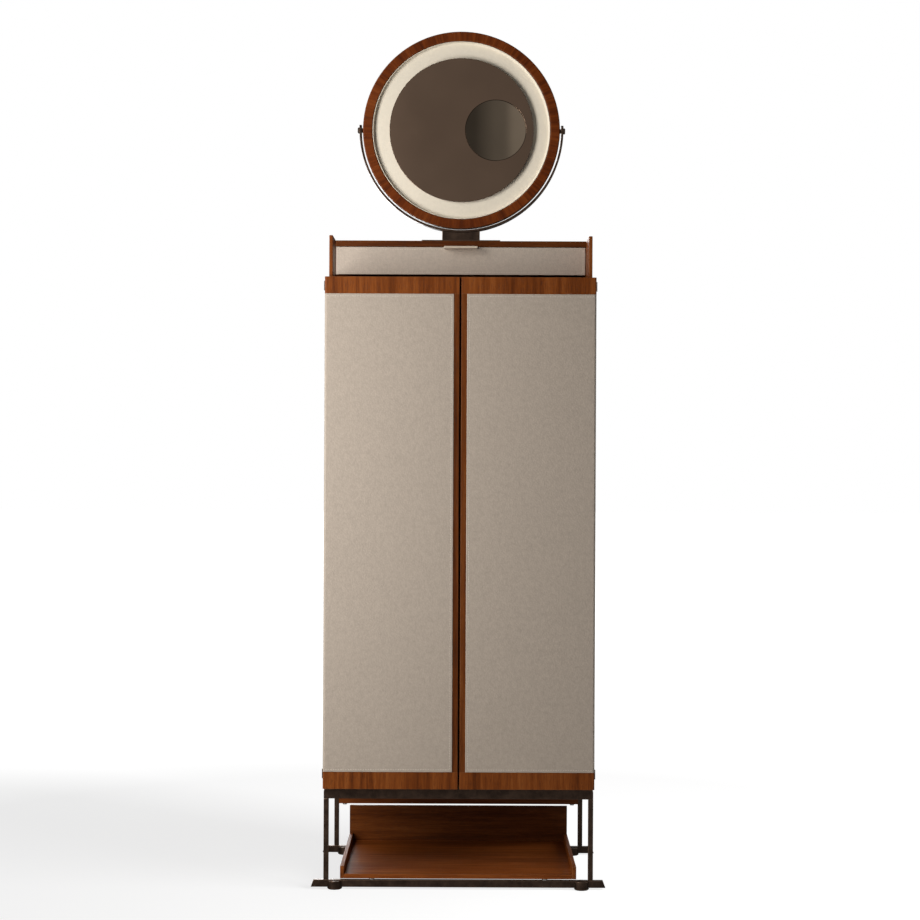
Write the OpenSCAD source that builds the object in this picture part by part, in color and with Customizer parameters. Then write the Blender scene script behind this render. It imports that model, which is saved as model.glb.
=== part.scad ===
// Tall two-door armoire on an open metal base, with a drawer gallery and a tilting round mirror.
// Millimetres. X to the right, front towards -Y, Z up. Origin on the floor at the centre.

/* [Overall] */
// Width over the leather of both closed doors
door_span = 600; // [500:5:800]
// Depth from the leather face of the doors to the back
body_depth = 450; // [400:5:600]
// Height of the cabinet box
carcass_h = 1131; // [900:5:1500]
// Height of the cabinet box's underside above the floor
base_h = 228; // [190:1:300]

/* [Cabinet box] */
// Thickness of the side, top, bottom and shelf boards
panel_t = 18; // [15:1:22]
// Thickness of the back panel
back_t = 8; // [5:1:12]
// Thickness of the leather cladding on its backing
leather_t = 3; // [2:0.5:4]
// How far the leather stands out past the wood at the sides
side_proud = 0; // [0:0.5:2.5]
// Width of the bare wood strip at the rear of each side
rear_stile_w = 13.5; // [8:0.5:30]

/* [Doors] */
// Thickness of a door from its leather face to its back
door_t = 22; // [18:1:26]
// Gap between a door's back and the cabinet box
door_gap = 2; // [1.5:0.5:3]
// Gap between the two doors
meeting_gap = 2; // [1.5:0.5:4]
// How far the doors hang below the top and bottom of the box
door_drop = 2; // [0:0.5:4]
// Height of a door's top rail
top_rail_h = 37.5; // [30:0.5:60]
// Height of a door's bottom rail
bottom_rail_h = 38; // [30:0.5:60]
// Width of a door's inner stile
stile_w = 13.5; // [10:0.5:30]
// How far the leather stands out past the wood at the front
front_proud = 1; // [0.5:0.5:1.5]
// Radius of a door's outer front corner
door_corner_r = 5; // [4:0.5:8]
// Width of the finger bevel on a door's inner edge
bevel_w = 1.5; // [1:0.5:5]
// Depth of the finger bevel on a door's inner edge
bevel_d = 7; // [3:0.5:12]

/* [Hinges] */
// Radius of a hinge barrel
knuckle_r = 3; // [2.5:0.25:4]
// Radius of a hinge pin
pin_r = 1.5; // [1:0.25:1.75]
// Radial clearance of a pin in a turning barrel or bore
pin_clearance = 0.05; // [0.02:0.01:0.09]
// Height of a hinge
hinge_h = 21; // [18:1:40]
// Thickness of a hinge leaf
leaf_t = 1.6; // [1:0.2:2.4]
// Width of a hinge leaf from the pin's axis
leaf_w = 17; // [12:1:18]
// Distance of the upper hinge's middle below the door's top
upper_hinge_inset = 19; // [18:1:100]
// Distance of the lower hinge's middle above the door's bottom
lower_hinge_inset = 31; // [18:1:100]

/* [Gallery] */
// Thickness of the gallery's side wings
wing_t = 8; // [8:1:15]
// Distance of the wings inside the doors' outer faces
wing_inset = 8; // [4:1:30]
// Height of the gallery above the cabinet box
gallery_h = 91.5; // [80:0.5:140]
// Depth of the open ledge in front of the drawer
ledge_depth = 112; // [60:1:160]
// Thickness of the board over the drawer
top_board_t = 13.5; // [10:0.5:20]
// Thickness of the deck under the drawer
deck_t = 10; // [6:1:14]
// Distance of the deck's edge behind the drawer's face
deck_setback = 5; // [0:1:15]

/* [Drawer] */
// Side clearance of the drawer between the wings
drawer_clearance = 1; // [0.5:0.25:2]
// Gap above the drawer front
drawer_top_gap = 1; // [0.5:0.25:3]
// Gap between the deck and the drawer front
drawer_foot_gap = 4.5; // [1:0.5:8]
// Thickness of the drawer front's board
drawer_front_t = 16; // [12:1:22]
// Thickness of the drawer's sides
drawer_side_t = 14; // [12:1:18]
// Thickness of the drawer's back
drawer_back_t = 12; // [8:1:16]
// Thickness of the drawer's bottom
drawer_bottom_t = 5; // [4:1:8]
// Height of the drawer's sides
drawer_side_h = 50; // [35:1:56]
// Lift of the drawer's sides above the lower edge of the front
drawer_side_lift = 3; // [1:0.5:6]
// Free space behind the drawer
drawer_rear_gap = 17; // [5:1:40]
// Width of a runner strip
runner_w = 7; // [5:0.5:8]
// Height of a runner strip
runner_h = 10; // [8:1:14]
// Clearance between a runner and its groove
runner_clearance = 0.4; // [0.3:0.1:0.8]
// Width of the pull tab
pull_w = 76; // [40:1:120]
// Thickness of the pull tab
pull_t = 5; // [3:0.5:8]
// How far the pull tab stands out
pull_reach = 30; // [15:1:45]

/* [Mirror] */
// Outer diameter of the wooden ring
ring_d = 455; // [360:5:520]
// Width of the wooden ring's face
ring_w = 22; // [18:1:32]
// Depth of the wooden ring
ring_depth = 28; // [24:1:40]
// Distance of the ring's middle from the middle of the cabinet's depth
mirror_y = 0; // [-10:1:60]
// Width of the pale ring seen between the main mirror and the wooden ring
halo_w = 39.5; // [20:0.5:50]
// Thickness of the main mirror
glass_t = 5; // [4:0.5:6]
// Distance of the mirror's face behind the ring's face
glass_setback = 1.5; // [0.5:0.5:4]
// Distance of the pale ring's face behind the wooden ring's face
halo_setback = 11; // [10:1:14]
// Thickness of the pale ring's turned-up outer edge
halo_lip_t = 1.5; // [1:0.25:3]
// Distance of the edge of the boss behind the main mirror inside the mirror's edge
boss_inset = 26; // [15:1:60]
// Thickness of the mirror's back board
mirror_back_t = 6; // [4:1:8]
// Radius of the magnifying mirror
magnifier_r = 70; // [40:1:75]
// Distance of the magnifying mirror's edge inside the main mirror's edge
magnifier_margin = 17; // [5:1:40]
// Thickness of the magnifying mirror
magnifier_t = 3; // [1:0.5:3.5]
// Gap between the ring and its yoke
yoke_gap = 3; // [2:0.5:6]
// Thickness of the yoke's strip
yoke_t = 5; // [3:0.5:8]
// Width of the yoke's strip
yoke_w = 26; // [16:1:40]
// How far the yoke's ends rise above the pivots
yoke_rise = 12; // [8:1:25]
// Radius of a pivot's pin
pivot_r = 3; // [2:0.5:5]
// Depth of a pivot's bore in the ring
pivot_depth = 11; // [8:1:16]
// Radius of a pivot's knob
knob_r = 7; // [5:0.5:9]
// How far a knob stands out
knob_reach = 4.5; // [3:0.5:10]
// Width of the stem under the yoke
stem_w = 87; // [50:1:140]
// Thickness of the stem
stem_t = 20; // [8:1:26]
// Clear height of the stem above its base plate
stem_h = 22; // [15:0.5:80]
// Width of the stand's base plate
stand_w = 180; // [120:5:300]
// Depth of the stand's base plate
stand_depth = 100; // [60:5:140]
// Thickness of the stand's base plate
stand_t = 6; // [4:1:10]

/* [Base frame] */
// Distance of the frame inside the doors' outer faces
frame_inset = 1; // [0:0.5:10]
// Width of a leg and of the side rails
leg_w = 11; // [9:0.5:20]
// Depth of the legs, cross rails and floor bars
bar_depth = 12; // [10:1:20]
// Distance of the frame behind the front of the cabinet box
frame_setback = 1; // [0:1:20]
// Distance of the frame in front of the back of the cabinet box
frame_rear_inset = 13; // [10:1:40]
// Height of the frame's top rails
frame_rail_h = 27; // [16:1:40]
// Radius of the frame's outer corners
frame_corner_r = 12; // [4:1:16]
// Length of a floor bar past each leg
bar_overhang = 28; // [10:1:60]
// Slant of a floor bar's ends
bar_slant = 6; // [0:1:12]
// Height of a floor bar
bar_h = 16; // [10:1:24]
// Height of a floor bar's underside above the floor
bar_lift = 5; // [3:1:10]
// Radius of a foot
foot_r = 16.5; // [12:0.5:24]
// Height of a foot
foot_h = 19; // [12:1:20]
// Chamfer under a foot
foot_chamfer = 2; // [0.5:0.5:3]
// Distance of a foot's middle inside the leg's outer face
foot_inset = 25; // [18:1:60]
// Clear height under the rear apron, above the floor
apron_z = 123; // [100:1:150]
// Radius of a frame bolt
bolt_r = 3; // [2:0.5:4]
// Radius of a frame bolt's head
bolt_head_r = 5; // [4:0.5:5.5]
// Height of a frame bolt's head
bolt_head_h = 3; // [2:0.5:5]
// Length of a bolt in the wood
bolt_grip = 14; // [10:1:16]
// Distance of the side rails' bolts from the frame's ends
bolt_inset = 70; // [30:5:120]

/* [Tray] */
// Gap between the tray and the legs at each side
tray_gap = 26; // [5:1:80]
// Thickness of the tray's floor
tray_floor_t = 10; // [8:1:18]
// Thickness of the tray's sides and back
tray_side_t = 8.5; // [6:0.5:14]
// Height of the tray's sides
tray_side_h = 27.5; // [20:0.5:60]
// Gap between the tray's back and the apron
tray_back_gap = 5; // [3:1:30]
// Radius of the spacers under the tray
spacer_r = 6; // [4:0.5:6]
// Thickness of the spacers under the tray
spacer_t = 3; // [2:0.5:6]
// Distance of the spacers inside the tray's ends
spacer_inset = 70; // [40:5:120]

/* [Interior] */
// Height of the fixed shelf above the box's floor
fixed_shelf_h = 330; // [250:5:450]
// Height of the adjustable shelf above the box's floor
loose_shelf_h = 160; // [120:5:200]
// Clearance of the adjustable shelf at each side
shelf_clearance = 1; // [0.5:0.25:2]
// Distance of the shelves behind the front of the box
shelf_setback = 12; // [5:1:40]
// Radius of a shelf pin
shelf_pin_r = 2.5; // [2:0.5:3]
// Length of a shelf pin in the side board and again in the open
shelf_pin_l = 9; // [6:1:12]
// Distance of the shelf pins from the shelf's front and rear edges
shelf_pin_inset = 50; // [30:5:90]
// Spacing of the adjustment holes
hole_pitch = 32; // [25:1:50]
// Radius of the hanging rod
rod_r = 10; // [8:0.5:14]
// Distance of the rod's axis below the box's top board
rod_drop = 52; // [40:1:80]
// Distance of the rod's ends from the front and rear of the box
rod_inset = 36; // [20:1:80]
// Thickness of a rod bracket along the rod
bracket_t = 12; // [8:1:20]
// Distance of a bracket inside the rod's end
bracket_inset = 14; // [8:1:40]
// Wall of a bracket around the rod
bracket_wall = 4; // [3:0.5:8]
// Width of a magnetic catch and of its strike plate
catch_w = 40; // [30:1:60]
// Height of a magnetic catch
catch_h = 12; // [8:1:14]
// Depth of a magnetic catch
catch_depth = 18; // [12:1:30]
// Distance of a catch from the middle of the cabinet
catch_x = 30; // [20:1:100]
// Gap between a closed door's strike plate and its catch
catch_gap = 0.4; // [0.3:0.1:1]
// Thickness of a strike plate
strike_t = 1.5; // [1:0.5:2.5]

/* [Hidden] */
$fn = 96;
// overshoot of a cut past the face that it opens
over = 1;
walnut = [0.42, 0.22, 0.11];
greige = [0.72, 0.66, 0.58];
bronze = [0.2, 0.15, 0.13];
steel = [0.6, 0.6, 0.6];
cream = [0.9, 0.86, 0.77];
smoked = [0.33, 0.27, 0.22];

// cabinet box
front_y = -body_depth / 2;
back_y = body_depth / 2;
leather_x = door_span / 2;
wood_x = leather_x - side_proud;
inner_x = wood_x - panel_t;
door_back_y = front_y + door_t;
box_front_y = door_back_y + door_gap;
box_top = base_h + carcass_h;
floor_z = base_h + panel_t;
ceiling_z = box_top - panel_t;
inner_back_y = back_y - back_t;

// doors
door_z = base_h - door_drop;
door_top = door_z + carcass_h;
panel_z = [door_z + bottom_rail_h, door_top - top_rail_h];
door_wood_y = front_y + front_proud;
core_y = front_y + leather_t;
core_x = leather_x - leather_t;
door_inner_x = meeting_gap / 2;
stile_x = door_inner_x + stile_w;

// hinges
hinge_y = door_back_y + door_gap / 2;
hinge_zs = [door_z + lower_hinge_inset, door_top - upper_hinge_inset];
barrel_gap = 0.4;
// a hinge has three equal knuckles
middle_knuckle_h = hinge_h / 3;

// gallery and drawer
wing_outer_x = leather_x - wing_inset;
wing_inner_x = wing_outer_x - wing_t;
gallery_top = box_top + gallery_h;
fascia_y = box_front_y + ledge_depth;
drawer_board_y = fascia_y + leather_t;
drawer_box_y = drawer_board_y + drawer_front_t;
drawer_rear_y = inner_back_y - drawer_rear_gap;
drawer_x = wing_inner_x - drawer_clearance;
drawer_z = box_top + deck_t + drawer_foot_gap;
drawer_top_z = gallery_top - top_board_t - drawer_top_gap;
drawer_side_z = drawer_z + drawer_side_lift;
drawer_inner_x = drawer_x - drawer_side_t;
runner_z = drawer_side_z + drawer_side_h / 2;

// mirror
ring_r = ring_d / 2;
ring_inner_r = ring_r - ring_w;
glass_r = ring_inner_r - halo_w;
magnifier_x = glass_r - magnifier_margin - magnifier_r;
ring_front_y = mirror_y - ring_depth / 2;
ring_rear_y = mirror_y + ring_depth / 2;
ring_chamfer = 1.5;
rabbet_w = 9;
seat_gap = 0.5;
yoke_r = ring_r + yoke_gap;
yoke_outer_r = yoke_r + yoke_t;
mirror_z = gallery_top + stand_t + stem_h + yoke_outer_r;
halo_y = ring_front_y + halo_setback;
halo_r = ring_inner_r - seat_gap;
mirror_back_y = ring_rear_y - seat_gap - mirror_back_t;
glass_y = ring_front_y + glass_setback;
boss_r = glass_r - boss_inset;
ear_r = 6;
knob_edge = 1.5;

// base frame
frame_front_y = box_front_y + frame_setback;
frame_rear_y = back_y - frame_rear_inset;
frame_x = leather_x - frame_inset;
leg_inner_x = frame_x - leg_w;
frame_rail_z = base_h - frame_rail_h;
bar_top_z = bar_lift + bar_h;
foot_x = frame_x - foot_inset;
front_bar_y = frame_front_y + bar_depth / 2;
rear_bar_y = frame_rear_y - bar_depth / 2;

// tray
tray_z = bar_top_z + spacer_t;
tray_x = leg_inner_x - tray_gap;
tray_top_z = apron_z - tray_back_gap;

// interior
shelf_y = [box_front_y + shelf_setback, inner_back_y];
fixed_shelf_z = floor_z + fixed_shelf_h;
loose_shelf_z = floor_z + loose_shelf_h;
pin_ys = [shelf_y[0] + shelf_pin_inset, shelf_y[1] - shelf_pin_inset];
rod_z = ceiling_z - rod_drop;
rod_y = [box_front_y + rod_inset, inner_back_y - rod_inset];
catch_z = ceiling_z - catch_h;

// ---- shared shapes ----

// A square-edged board between two faces on each axis
module board(x, y, z) {
  translate([x[0], y[0], z[0]])
    cube([x[1] - x[0], y[1] - y[0], z[1] - z[0]]);
}

// The right-hand piece together with its mirror image on the left
module both_sides() {
  children();
  mirror([1, 0, 0]) children();
}

// The left-hand version of a right-hand piece
module left_hand() {
  mirror([1, 0, 0]) children();
}

// What is cut off a square corner at the origin that points to +X, -Y, to make it round
module corner_waste(r) {
  difference() {
    translate([-r, -over]) square(r + over);
    translate([-r, r]) circle(r);
  }
}

// A plan rectangle between two faces on each axis
module plan(x, y) {
  translate([x[0], y[0]]) square([x[1] - x[0], y[1] - y[0]]);
}

// A plan rectangle whose +X, -Y corner is round
module corner_rounded(x, y, r) {
  difference() {
    plan(x, y);
    translate([x[1], y[0]]) corner_waste(r);
  }
}

// A rod along Y between two faces
module rod_along_y(r, y) {
  translate([0, y[1], 0]) rotate([90, 0, 0]) cylinder(r = r, h = y[1] - y[0]);
}

// A rod along X between two faces
module rod_along_x(r, x) {
  translate([x[0], 0, 0]) rotate([0, 90, 0]) cylinder(r = r, h = x[1] - x[0]);
}

// An elevation outline given thickness from one Y to another
module along_y(y) {
  translate([0, y[1], 0]) rotate([90, 0, 0]) linear_extrude(y[1] - y[0]) children();
}

// ---- hinges ----

// Height ranges of the knuckles that belong to the cabinet's leaf
function outer_knuckles(z) = [
  [z - hinge_h / 2, z - middle_knuckle_h / 2],
  [z + middle_knuckle_h / 2, z + hinge_h / 2]
];

module barrel(r, z) {
  translate([leather_x, hinge_y, z[0]]) cylinder(r = r, h = z[1] - z[0]);
}

// Room for the barrels in whatever lies beside them
module barrel_relief() {
  for (z = hinge_zs)
    barrel(knuckle_r + barrel_gap, [z - hinge_h / 2 - barrel_gap, z + hinge_h / 2 + barrel_gap]);
}

// A leaf's plate, or the mortise that it lies in
module leaf_plate(y) {
  for (z = hinge_zs)
    board([leather_x - leaf_w, leather_x], y, [z - hinge_h / 2, z + hinge_h / 2]);
}

module cabinet_leaves() {
  difference() {
    union() {
      leaf_plate([box_front_y, box_front_y + leaf_t]);
      for (z = hinge_zs)
        for (k = outer_knuckles(z)) barrel(knuckle_r, k);
    }
    for (z = hinge_zs) {
      barrel(
        knuckle_r + barrel_gap,
        [z - middle_knuckle_h / 2, z + middle_knuckle_h / 2]
      );
      barrel(pin_r, [z - hinge_h / 2 - over, z + hinge_h / 2 + over]);
    }
  }
}

module door_leaves() {
  middle = middle_knuckle_h / 2 - barrel_gap / 2;
  difference() {
    union() {
      leaf_plate([door_back_y - leaf_t, door_back_y]);
      for (z = hinge_zs) barrel(knuckle_r, [z - middle, z + middle]);
    }
    for (z = hinge_zs) {
      barrel(knuckle_r + barrel_gap, [z - hinge_h / 2 - over, z - middle]);
      barrel(knuckle_r + barrel_gap, [z + middle, z + hinge_h / 2 + over]);
      barrel(pin_r + pin_clearance, [z - middle - over, z + middle + over]);
    }
  }
}

module carcass_hinge_leaves() {
  color(bronze) both_sides() cabinet_leaves();
}

module hinge_pins() {
  color(bronze)
    both_sides()
      for (z = hinge_zs) barrel(pin_r, [z - hinge_h / 2, z + hinge_h / 2]);
}

module door_hinge_leaves_right() {
  color(bronze) door_leaves();
}

module door_hinge_leaves_left() {
  color(bronze) left_hand() door_leaves();
}

// ---- base frame ----

// One leg on the right, standing on its floor bar
module leg(y) {
  board([leg_inner_x, frame_x], y, [bar_top_z, frame_rail_z]);
}

module front_legs() {
  color(bronze) both_sides() leg([frame_front_y, frame_front_y + bar_depth]);
}

module rear_legs() {
  color(bronze) both_sides() leg([frame_rear_y - bar_depth, frame_rear_y]);
}

// A cross rail whose upper outer corners are round
module cross_rail(y) {
  along_y(y)
    difference() {
      plan([-frame_x, frame_x], [frame_rail_z, base_h]);
      both_sides() translate([frame_x, base_h]) mirror([0, 1, 0]) corner_waste(frame_corner_r);
    }
}

module front_top_rail() {
  color(bronze) cross_rail([frame_front_y, frame_front_y + bar_depth]);
}

module rear_top_rail() {
  color(bronze) cross_rail([frame_rear_y - bar_depth, frame_rear_y]);
}

// Places of the bolts that hold the side rails to the cabinet box
module at_rail_bolts() {
  for (y = [frame_front_y + bolt_inset, frame_rear_y - bolt_inset])
    translate([(wood_x + leg_inner_x) / 2, y, 0]) children();
}

module frame_side_rails() {
  color(bronze)
    both_sides()
      difference() {
        board(
          [leg_inner_x, frame_x],
          [frame_front_y + bar_depth, frame_rear_y - bar_depth],
          [frame_rail_z, base_h]
        );
        at_rail_bolts()
          translate([0, 0, frame_rail_z - over]) cylinder(r = bolt_r, h = frame_rail_h + 2 * over);
      }
}

// Places of the two bolts under the rear apron
module at_apron_bolts() {
  translate([foot_x, rear_bar_y, apron_z]) children();
}

// A bolt whose head sits below the height z = 0
module bolt(shank) {
  translate([0, 0, -bolt_head_h]) cylinder(r = bolt_head_r, h = bolt_head_h);
  cylinder(r = bolt_r, h = shank);
}

module frame_bolts() {
  color(steel)
    both_sides() {
      at_rail_bolts() translate([0, 0, frame_rail_z]) bolt(frame_rail_h + bolt_grip);
      at_apron_bolts() bolt(bolt_grip);
    }
}

module floor_bar(y) {
  reach = frame_x + bar_overhang;
  along_y(y)
    polygon([
      [-reach, bar_lift],
      [reach, bar_lift],
      [reach - bar_slant, bar_top_z],
      [bar_slant - reach, bar_top_z]
    ]);
}

module front_floor_bar() {
  color(bronze) floor_bar([frame_front_y, frame_front_y + bar_depth]);
}

module rear_floor_bar() {
  color(bronze) floor_bar([frame_rear_y - bar_depth, frame_rear_y]);
}

// A turned foot that straddles its floor bar
module foot() {
  difference() {
    union() {
      cylinder(r1 = foot_r - foot_chamfer, r2 = foot_r, h = foot_chamfer);
      translate([0, 0, foot_chamfer]) cylinder(r = foot_r, h = foot_h - foot_chamfer);
    }
    board([-foot_r - over, foot_r + over], [-bar_depth / 2, bar_depth / 2], [bar_lift, foot_h + over]);
  }
}

module floor_feet() {
  color(bronze)
    both_sides()
      for (y = [front_bar_y, rear_bar_y]) translate([foot_x, y, 0]) foot();
}

module rear_apron() {
  color(walnut)
    difference() {
      board([-leg_inner_x, leg_inner_x], [frame_rear_y - bar_depth, frame_rear_y], [apron_z, frame_rail_z]);
      both_sides() at_apron_bolts() translate([0, 0, -over]) cylinder(r = bolt_r, h = bolt_grip + over);
    }
}

// ---- tray ----

module tray_floor() {
  color(walnut)
    board(
      [tray_side_t - tray_x, tray_x - tray_side_t],
      [frame_front_y, frame_rear_y - tray_side_t],
      [tray_z, tray_z + tray_floor_t]
    );
}

module tray_sides() {
  color(walnut)
    both_sides()
      board(
        [tray_x - tray_side_t, tray_x],
        [frame_front_y, frame_rear_y - tray_side_t],
        [tray_z, tray_z + tray_side_h]
      );
}

module tray_back() {
  color(walnut)
    board([-tray_x, tray_x], [frame_rear_y - tray_side_t, frame_rear_y], [tray_z, tray_top_z]);
}

module tray_spacers() {
  color(steel)
    both_sides()
      for (y = [front_bar_y, rear_bar_y])
        translate([tray_x - spacer_inset, y, bar_top_z]) cylinder(r = spacer_r, h = spacer_t);
}

// ---- cabinet box ----

// Adjustment holes, or the pins in the row that is in use
module shelf_pin_row(z, length) {
  for (y = pin_ys)
    translate([0, y, z]) rod_along_x(shelf_pin_r, [inner_x + shelf_pin_l - length, inner_x + shelf_pin_l]);
}

module side_panel() {
  difference() {
    board([inner_x, wood_x], [box_front_y, back_y], [base_h, box_top]);
    board(
      [leather_x - leather_t, wood_x + over],
      [box_front_y - over, back_y - rear_stile_w],
      panel_z
    );
    leaf_plate([box_front_y - over, box_front_y + leaf_t]);
    barrel_relief();
    at_rail_bolts() translate([0, 0, base_h - over]) cylinder(r = bolt_r, h = bolt_grip + over);
    for (step = [-1, 0, 1])
      shelf_pin_row(loose_shelf_z - shelf_pin_r + step * hole_pitch, shelf_pin_l + over);
  }
}

module side_panel_right() {
  color(walnut) side_panel();
}

module side_panel_left() {
  color(walnut) left_hand() side_panel();
}

module side_leather() {
  difference() {
    board([leather_x - leather_t, leather_x], [box_front_y, back_y - rear_stile_w], panel_z);
    leaf_plate([box_front_y - over, box_front_y + leaf_t]);
    barrel_relief();
  }
}

module side_leather_right() {
  color(greige) side_leather();
}

module side_leather_left() {
  color(greige) left_hand() side_leather();
}

module carcass_top() {
  color(walnut) board([-inner_x, inner_x], [box_front_y, inner_back_y], [ceiling_z, box_top]);
}

module carcass_bottom() {
  color(walnut) board([-inner_x, inner_x], [box_front_y, inner_back_y], [base_h, floor_z]);
}

module back_panel() {
  color(walnut) board([-inner_x, inner_x], [inner_back_y, back_y], [base_h, box_top]);
}

// ---- interior ----

module fixed_shelf() {
  color(walnut) board([-inner_x, inner_x], shelf_y, [fixed_shelf_z, fixed_shelf_z + panel_t]);
}

module adjustable_shelf() {
  reach = inner_x - shelf_clearance;
  color(walnut)
    board(
      [-reach, reach],
      [shelf_y[0], shelf_y[1] - shelf_clearance],
      [loose_shelf_z, loose_shelf_z + panel_t]
    );
}

module shelf_pins() {
  color(steel) both_sides() shelf_pin_row(loose_shelf_z - shelf_pin_r, 2 * shelf_pin_l);
}

module hanging_rod() {
  color(bronze) translate([0, 0, rod_z]) rod_along_y(rod_r, rod_y);
}

// A drop bracket from the box's top board, closed around the rod
module rod_bracket(y) {
  reach = rod_r + bracket_wall;
  difference() {
    union() {
      board([-reach, reach], y, [rod_z, ceiling_z]);
      translate([0, 0, rod_z]) rod_along_y(reach, y);
    }
    translate([0, 0, rod_z]) rod_along_y(rod_r, [y[0] - over, y[1] + over]);
  }
}

module rod_brackets() {
  color(bronze) {
    rod_bracket([rod_y[0] + bracket_inset, rod_y[0] + bracket_inset + bracket_t]);
    rod_bracket([rod_y[1] - bracket_inset - bracket_t, rod_y[1] - bracket_inset]);
  }
}

module magnetic_catches() {
  color(steel)
    both_sides()
      board(
        [catch_x, catch_x + catch_w],
        [door_back_y + catch_gap, door_back_y + catch_gap + catch_depth],
        [catch_z, ceiling_z]
      );
}

// ---- doors, drawn on the right ----

// Plan of what the finger bevel takes off a door's inner edge
module finger_bevel() {
  polygon([
    [door_inner_x - over, door_wood_y - over],
    [door_inner_x + bevel_w, door_wood_y - over],
    [door_inner_x + bevel_w, door_wood_y],
    [door_inner_x, door_wood_y + bevel_d],
    [door_inner_x - over, door_wood_y + bevel_d]
  ]);
}

// Cuts for the hinges in whatever part of the door they reach
module door_hinge_cuts() {
  leaf_plate([door_back_y - leaf_t, door_back_y + over]);
  barrel_relief();
}

module strike(y) {
  board([catch_x, catch_x + catch_w], y, [catch_z, ceiling_z]);
}

module door_rails() {
  difference() {
    for (z = [[door_z, panel_z[0]], [panel_z[1], door_top]])
      translate([0, 0, z[0]])
        linear_extrude(z[1] - z[0])
          difference() {
            corner_rounded([door_inner_x, wood_x], [door_wood_y, door_back_y], door_corner_r - front_proud);
            finger_bevel();
          }
    door_hinge_cuts();
    strike([door_back_y - strike_t, door_back_y + over]);
  }
}

module door_stile() {
  translate([0, 0, panel_z[0]])
    linear_extrude(panel_z[1] - panel_z[0])
      difference() {
        plan([door_inner_x, stile_x], [door_wood_y, door_back_y]);
        finger_bevel();
      }
}

module door_core() {
  difference() {
    translate([0, 0, panel_z[0]])
      linear_extrude(panel_z[1] - panel_z[0])
        corner_rounded([stile_x, core_x], [core_y, door_back_y], door_corner_r - leather_t);
    door_hinge_cuts();
  }
}

module door_leather() {
  difference() {
    translate([0, 0, panel_z[0]])
      linear_extrude(panel_z[1] - panel_z[0])
        difference() {
          corner_rounded([stile_x, leather_x], [front_y, door_back_y], door_corner_r);
          corner_rounded([stile_x - over, core_x], [core_y, door_back_y + over], door_corner_r - leather_t);
        }
    door_hinge_cuts();
  }
}

module door_core_right() {
  color(walnut) door_core();
}

module door_core_left() {
  color(walnut) left_hand() door_core();
}

module door_rails_right() {
  color(walnut) door_rails();
}

module door_rails_left() {
  color(walnut) left_hand() door_rails();
}

module door_stile_right() {
  color(walnut) door_stile();
}

module door_stile_left() {
  color(walnut) left_hand() door_stile();
}

module door_leather_right() {
  color(greige) door_leather();
}

module door_leather_left() {
  color(greige) left_hand() door_leather();
}

module strike_plate_right() {
  color(steel) strike([door_back_y - strike_t, door_back_y]);
}

module strike_plate_left() {
  color(steel) left_hand() strike([door_back_y - strike_t, door_back_y]);
}

// ---- gallery ----

module gallery_wings() {
  color(walnut)
    both_sides() board([wing_inner_x, wing_outer_x], [box_front_y, back_y], [box_top, gallery_top]);
}

module top_board() {
  color(walnut)
    board([-wing_inner_x, wing_inner_x], [fascia_y, back_y], [gallery_top - top_board_t, gallery_top]);
}

module drawer_deck() {
  color(walnut)
    board([-wing_inner_x, wing_inner_x], [fascia_y + deck_setback, back_y], [box_top, box_top + deck_t]);
}

module gallery_back() {
  color(walnut)
    board(
      [-wing_inner_x, wing_inner_x],
      [inner_back_y, back_y],
      [box_top + deck_t, gallery_top - top_board_t]
    );
}

module drawer_runners() {
  color(walnut)
    both_sides()
      board(
        [wing_inner_x - runner_w, wing_inner_x],
        [drawer_box_y + runner_clearance, inner_back_y],
        [runner_z - runner_h / 2, runner_z + runner_h / 2]
      );
}

// ---- drawer ----

module drawer_front() {
  color(walnut) board([-drawer_x, drawer_x], [drawer_board_y, drawer_box_y], [drawer_z, drawer_top_z]);
}

module drawer_leather() {
  color(greige) board([-drawer_x, drawer_x], [fascia_y, drawer_board_y], [drawer_z, drawer_top_z]);
}

// Each side is grooved along its outer face for its runner
module drawer_sides() {
  groove_h = runner_h / 2 + runner_clearance;
  color(walnut)
    both_sides()
      difference() {
        board(
          [drawer_inner_x, drawer_x],
          [drawer_box_y, drawer_rear_y],
          [drawer_side_z, drawer_side_z + drawer_side_h]
        );
        board(
          [wing_inner_x - runner_w - runner_clearance, drawer_x + over],
          [drawer_box_y - over, drawer_rear_y + over],
          [runner_z - groove_h, runner_z + groove_h]
        );
      }
}

module drawer_back() {
  color(walnut)
    board(
      [-drawer_inner_x, drawer_inner_x],
      [drawer_rear_y - drawer_back_t, drawer_rear_y],
      [drawer_side_z + drawer_bottom_t, drawer_side_z + drawer_side_h]
    );
}

module drawer_bottom() {
  color(walnut)
    board(
      [-drawer_inner_x, drawer_inner_x],
      [drawer_box_y, drawer_rear_y],
      [drawer_side_z, drawer_side_z + drawer_bottom_t]
    );
}

module drawer_pull() {
  color(cream)
    board(
      [-pull_w / 2, pull_w / 2],
      [fascia_y - pull_reach, fascia_y],
      [drawer_top_z - pull_t, drawer_top_z]
    );
}

// ---- mirror ----

// Moves a piece drawn about the origin to the mirror's centre
module at_mirror() {
  translate([0, 0, mirror_z]) children();
}

module mirror_stand() {
  stem_top = mirror_z - sqrt(pow(yoke_outer_r, 2) - pow(stem_w / 2, 2));
  color(bronze) {
    difference() {
      union() {
        board(
          [-stand_w / 2, stand_w / 2],
          [mirror_y - stand_depth / 2, mirror_y + stand_depth / 2],
          [gallery_top, gallery_top + stand_t]
        );
        board(
          [-stem_w / 2, stem_w / 2],
          [mirror_y - stem_t / 2, mirror_y + stem_t / 2],
          [gallery_top + stand_t - over, stem_top]
        );
      }
      at_mirror() rod_along_y(yoke_outer_r, [mirror_y - stand_depth, mirror_y + stand_depth]);
    }
  }
}

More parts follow.
